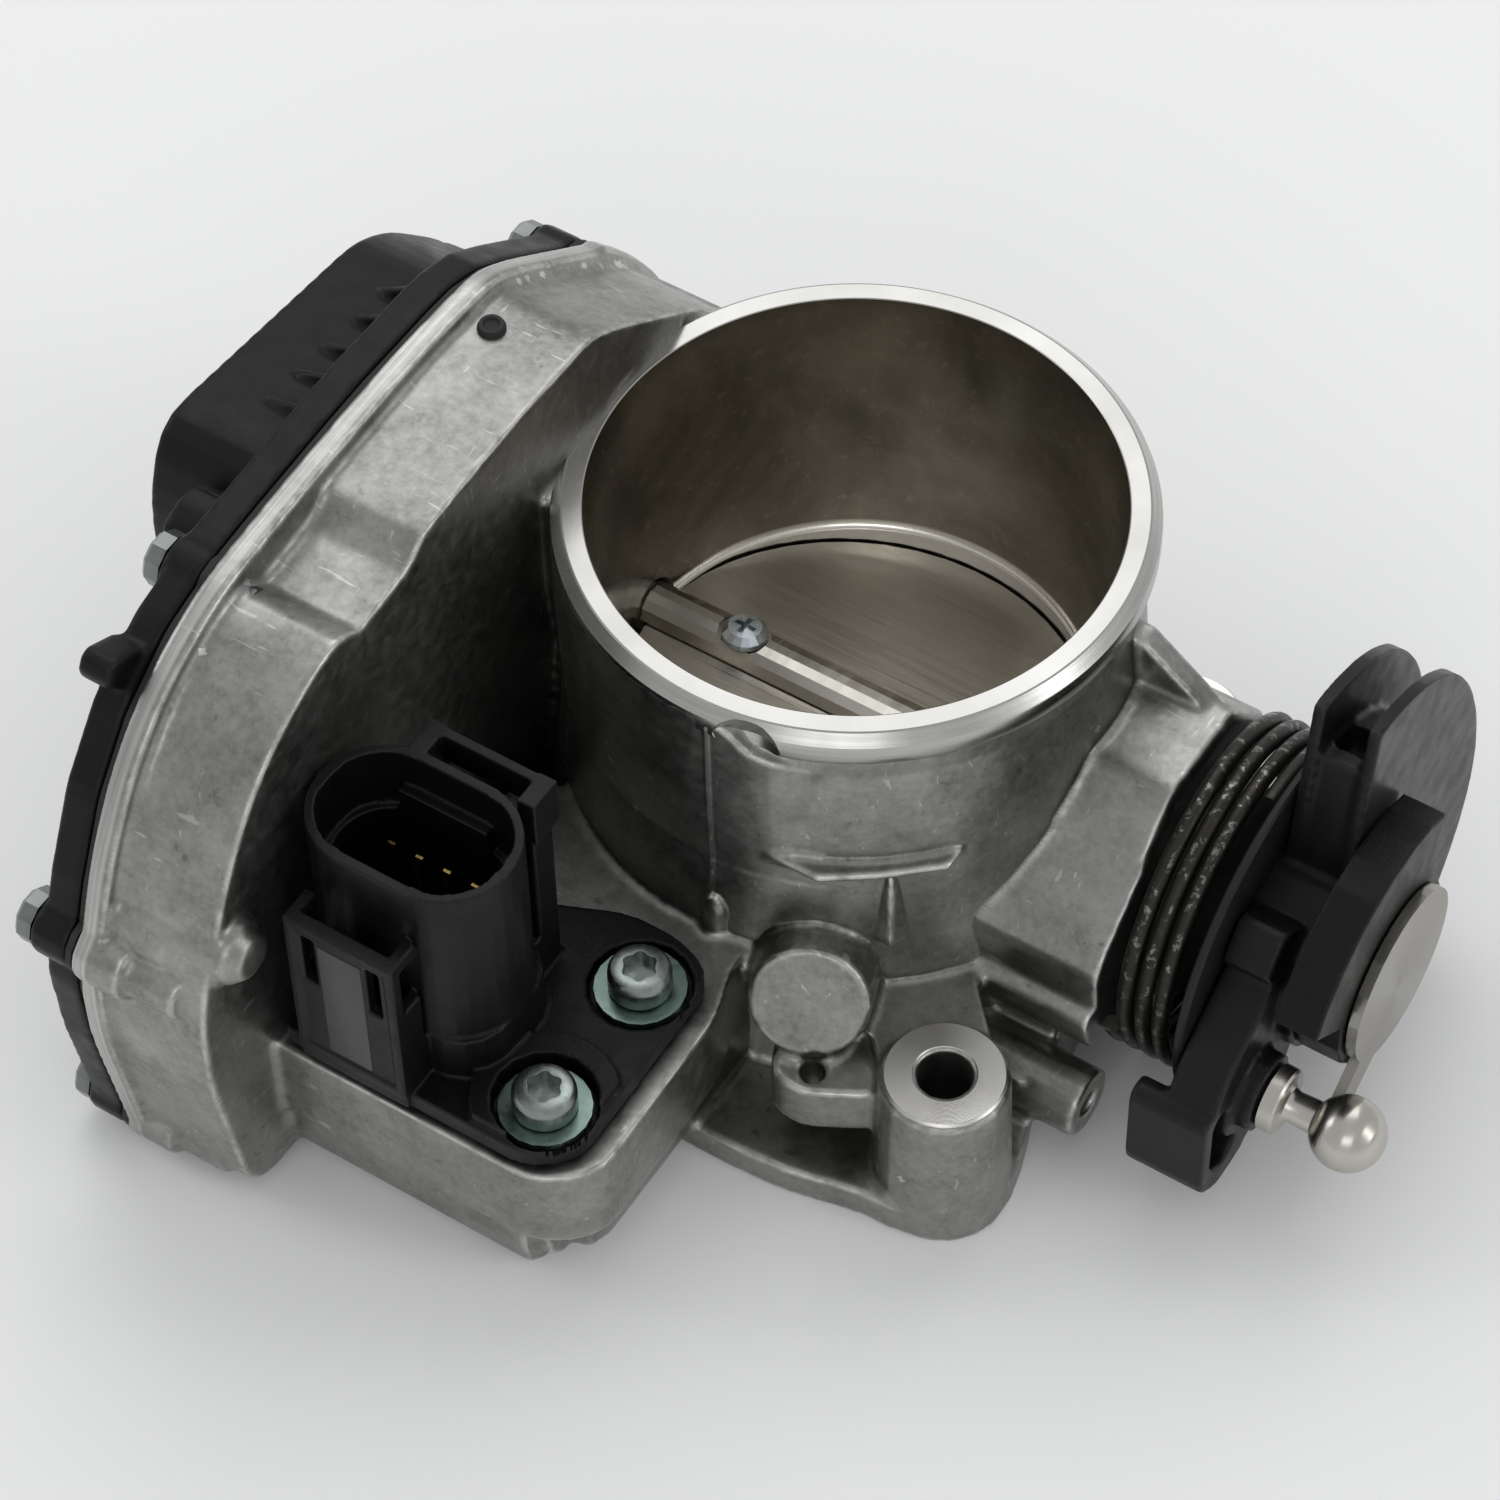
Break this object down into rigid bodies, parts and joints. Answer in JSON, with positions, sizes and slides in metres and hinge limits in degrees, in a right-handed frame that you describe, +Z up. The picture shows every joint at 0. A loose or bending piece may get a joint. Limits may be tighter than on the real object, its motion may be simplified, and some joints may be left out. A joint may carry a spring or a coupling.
{
  "type": "throttle body",
  "caption": "Cast throttle body: round bore with a pivoting plate, cable wheel and return spring, side gear case with idle motor, upright plug socket.",
  "frame": {"origin": "bottom centre of the bounding box; the outlet flange stands on z = 0", "axes": "+Z up along the bore towards the air inlet; +X along the throttle shaft towards the cable wheel; +Y away from the connector"},
  "size_m": [0.1614, 0.1442, 0.0879],
  "materials": {
    "cast_aluminium": "die cast, satin, lightly mottled; machined on the inlet rim, bore throat and bolt seats",
    "black_plastic": "fine grained moulding",
    "black_rubber": "matte",
    "bright_steel": "turned",
    "plate_metal": "brushed",
    "zinc_plated": "bright zinc, faintly green",
    "spring_steel": "dark phosphate with worn crowns",
    "contact_gold": "gold flashed",
    "natural_plastic": "moulded",
    "circuit_board": "satin",
    "galvanised_steel": "galvanised"
  },
  "bodies": {
    "housing": {"throttle_housing": "cast_aluminium", "gear_cover": "black_plastic", "connector_housing": "black_plastic", "cover_gasket": "black_rubber", "connector_seal": "black_rubber", "shaft_seal": "black_rubber", "case_plug": "black_rubber", "bearing_wheel_side": "bright_steel", "bearing_gear_side": "bright_steel", "idler_pin": "bright_steel", "motor_screw_1": "zinc_plated", "motor_screw_2": "zinc_plated", "cover_screw_1": "zinc_plated", "cover_screw_2": "zinc_plated", "cover_screw_3": "zinc_plated", "cover_screw_4": "zinc_plated", "cover_screw_5": "zinc_plated", "cover_screw_6": "zinc_plated", "cover_screw_7": "zinc_plated", "connector_screw_1": "zinc_plated", "connector_screw_2": "zinc_plated", "connector_washer_1": "zinc_plated", "connector_washer_2": "zinc_plated", "return_spring": "spring_steel", "connector_pin_1": "contact_gold", "connector_pin_2": "contact_gold", "connector_pin_3": "contact_gold", "connector_pin_4": "contact_gold", "connector_pin_5": "contact_gold", "connector_pin_6": "contact_gold", "connector_pin_7": "contact_gold", "connector_pin_8": "contact_gold", "sensor_board": "circuit_board", "idle_motor": "galvanised_steel", "motor_bracket": "galvanised_steel"},
    "throttle_rotor": {"throttle_shaft": "bright_steel", "throttle_plate": "plate_metal", "plate_screw_1": "zinc_plated", "plate_screw_2": "zinc_plated", "sector_gear": "natural_plastic", "sensor_rotor": "natural_plastic", "cable_wheel": "black_plastic", "spring_plate": "black_plastic", "ball_stud": "bright_steel", "stop_coupler": "black_plastic", "shaft_nut": "zinc_plated", "end_cap": "bright_steel"},
    "idler": {"idler_gear": "natural_plastic"},
    "motor_rotor": {"motor_shaft": "bright_steel", "motor_pinion": "plate_metal"}
  },
  "joints": [
    {"name": "wheel_turn", "type": "hinge", "parent": "housing", "child": "throttle_rotor", "pos_m": [-0.00822, 0.02437, 0.0284], "axis": [-1, 0, 0], "range_deg": [0, 80], "stiffness_Nm_per_rad": 0.25, "springref_deg": -68.75},
    {"name": "idler_turn", "type": "hinge", "parent": "housing", "child": "idler", "pos_m": [-0.05323, -0.00935, 0.03102], "axis": [-1, 0, 0], "range_deg": [-140, 0]},
    {"name": "motor_turn", "type": "hinge", "parent": "housing", "child": "motor_rotor", "pos_m": [-0.05323, -0.03763, 0.0152], "axis": [-1, 0, 0], "range_deg": [0, 418]}
  ],
  "couplings": [
    {"joint": "idler_turn", "follows": "wheel_turn", "ratio": -1.7333},
    {"joint": "motor_turn", "follows": "wheel_turn", "ratio": 5.2}
  ]
}
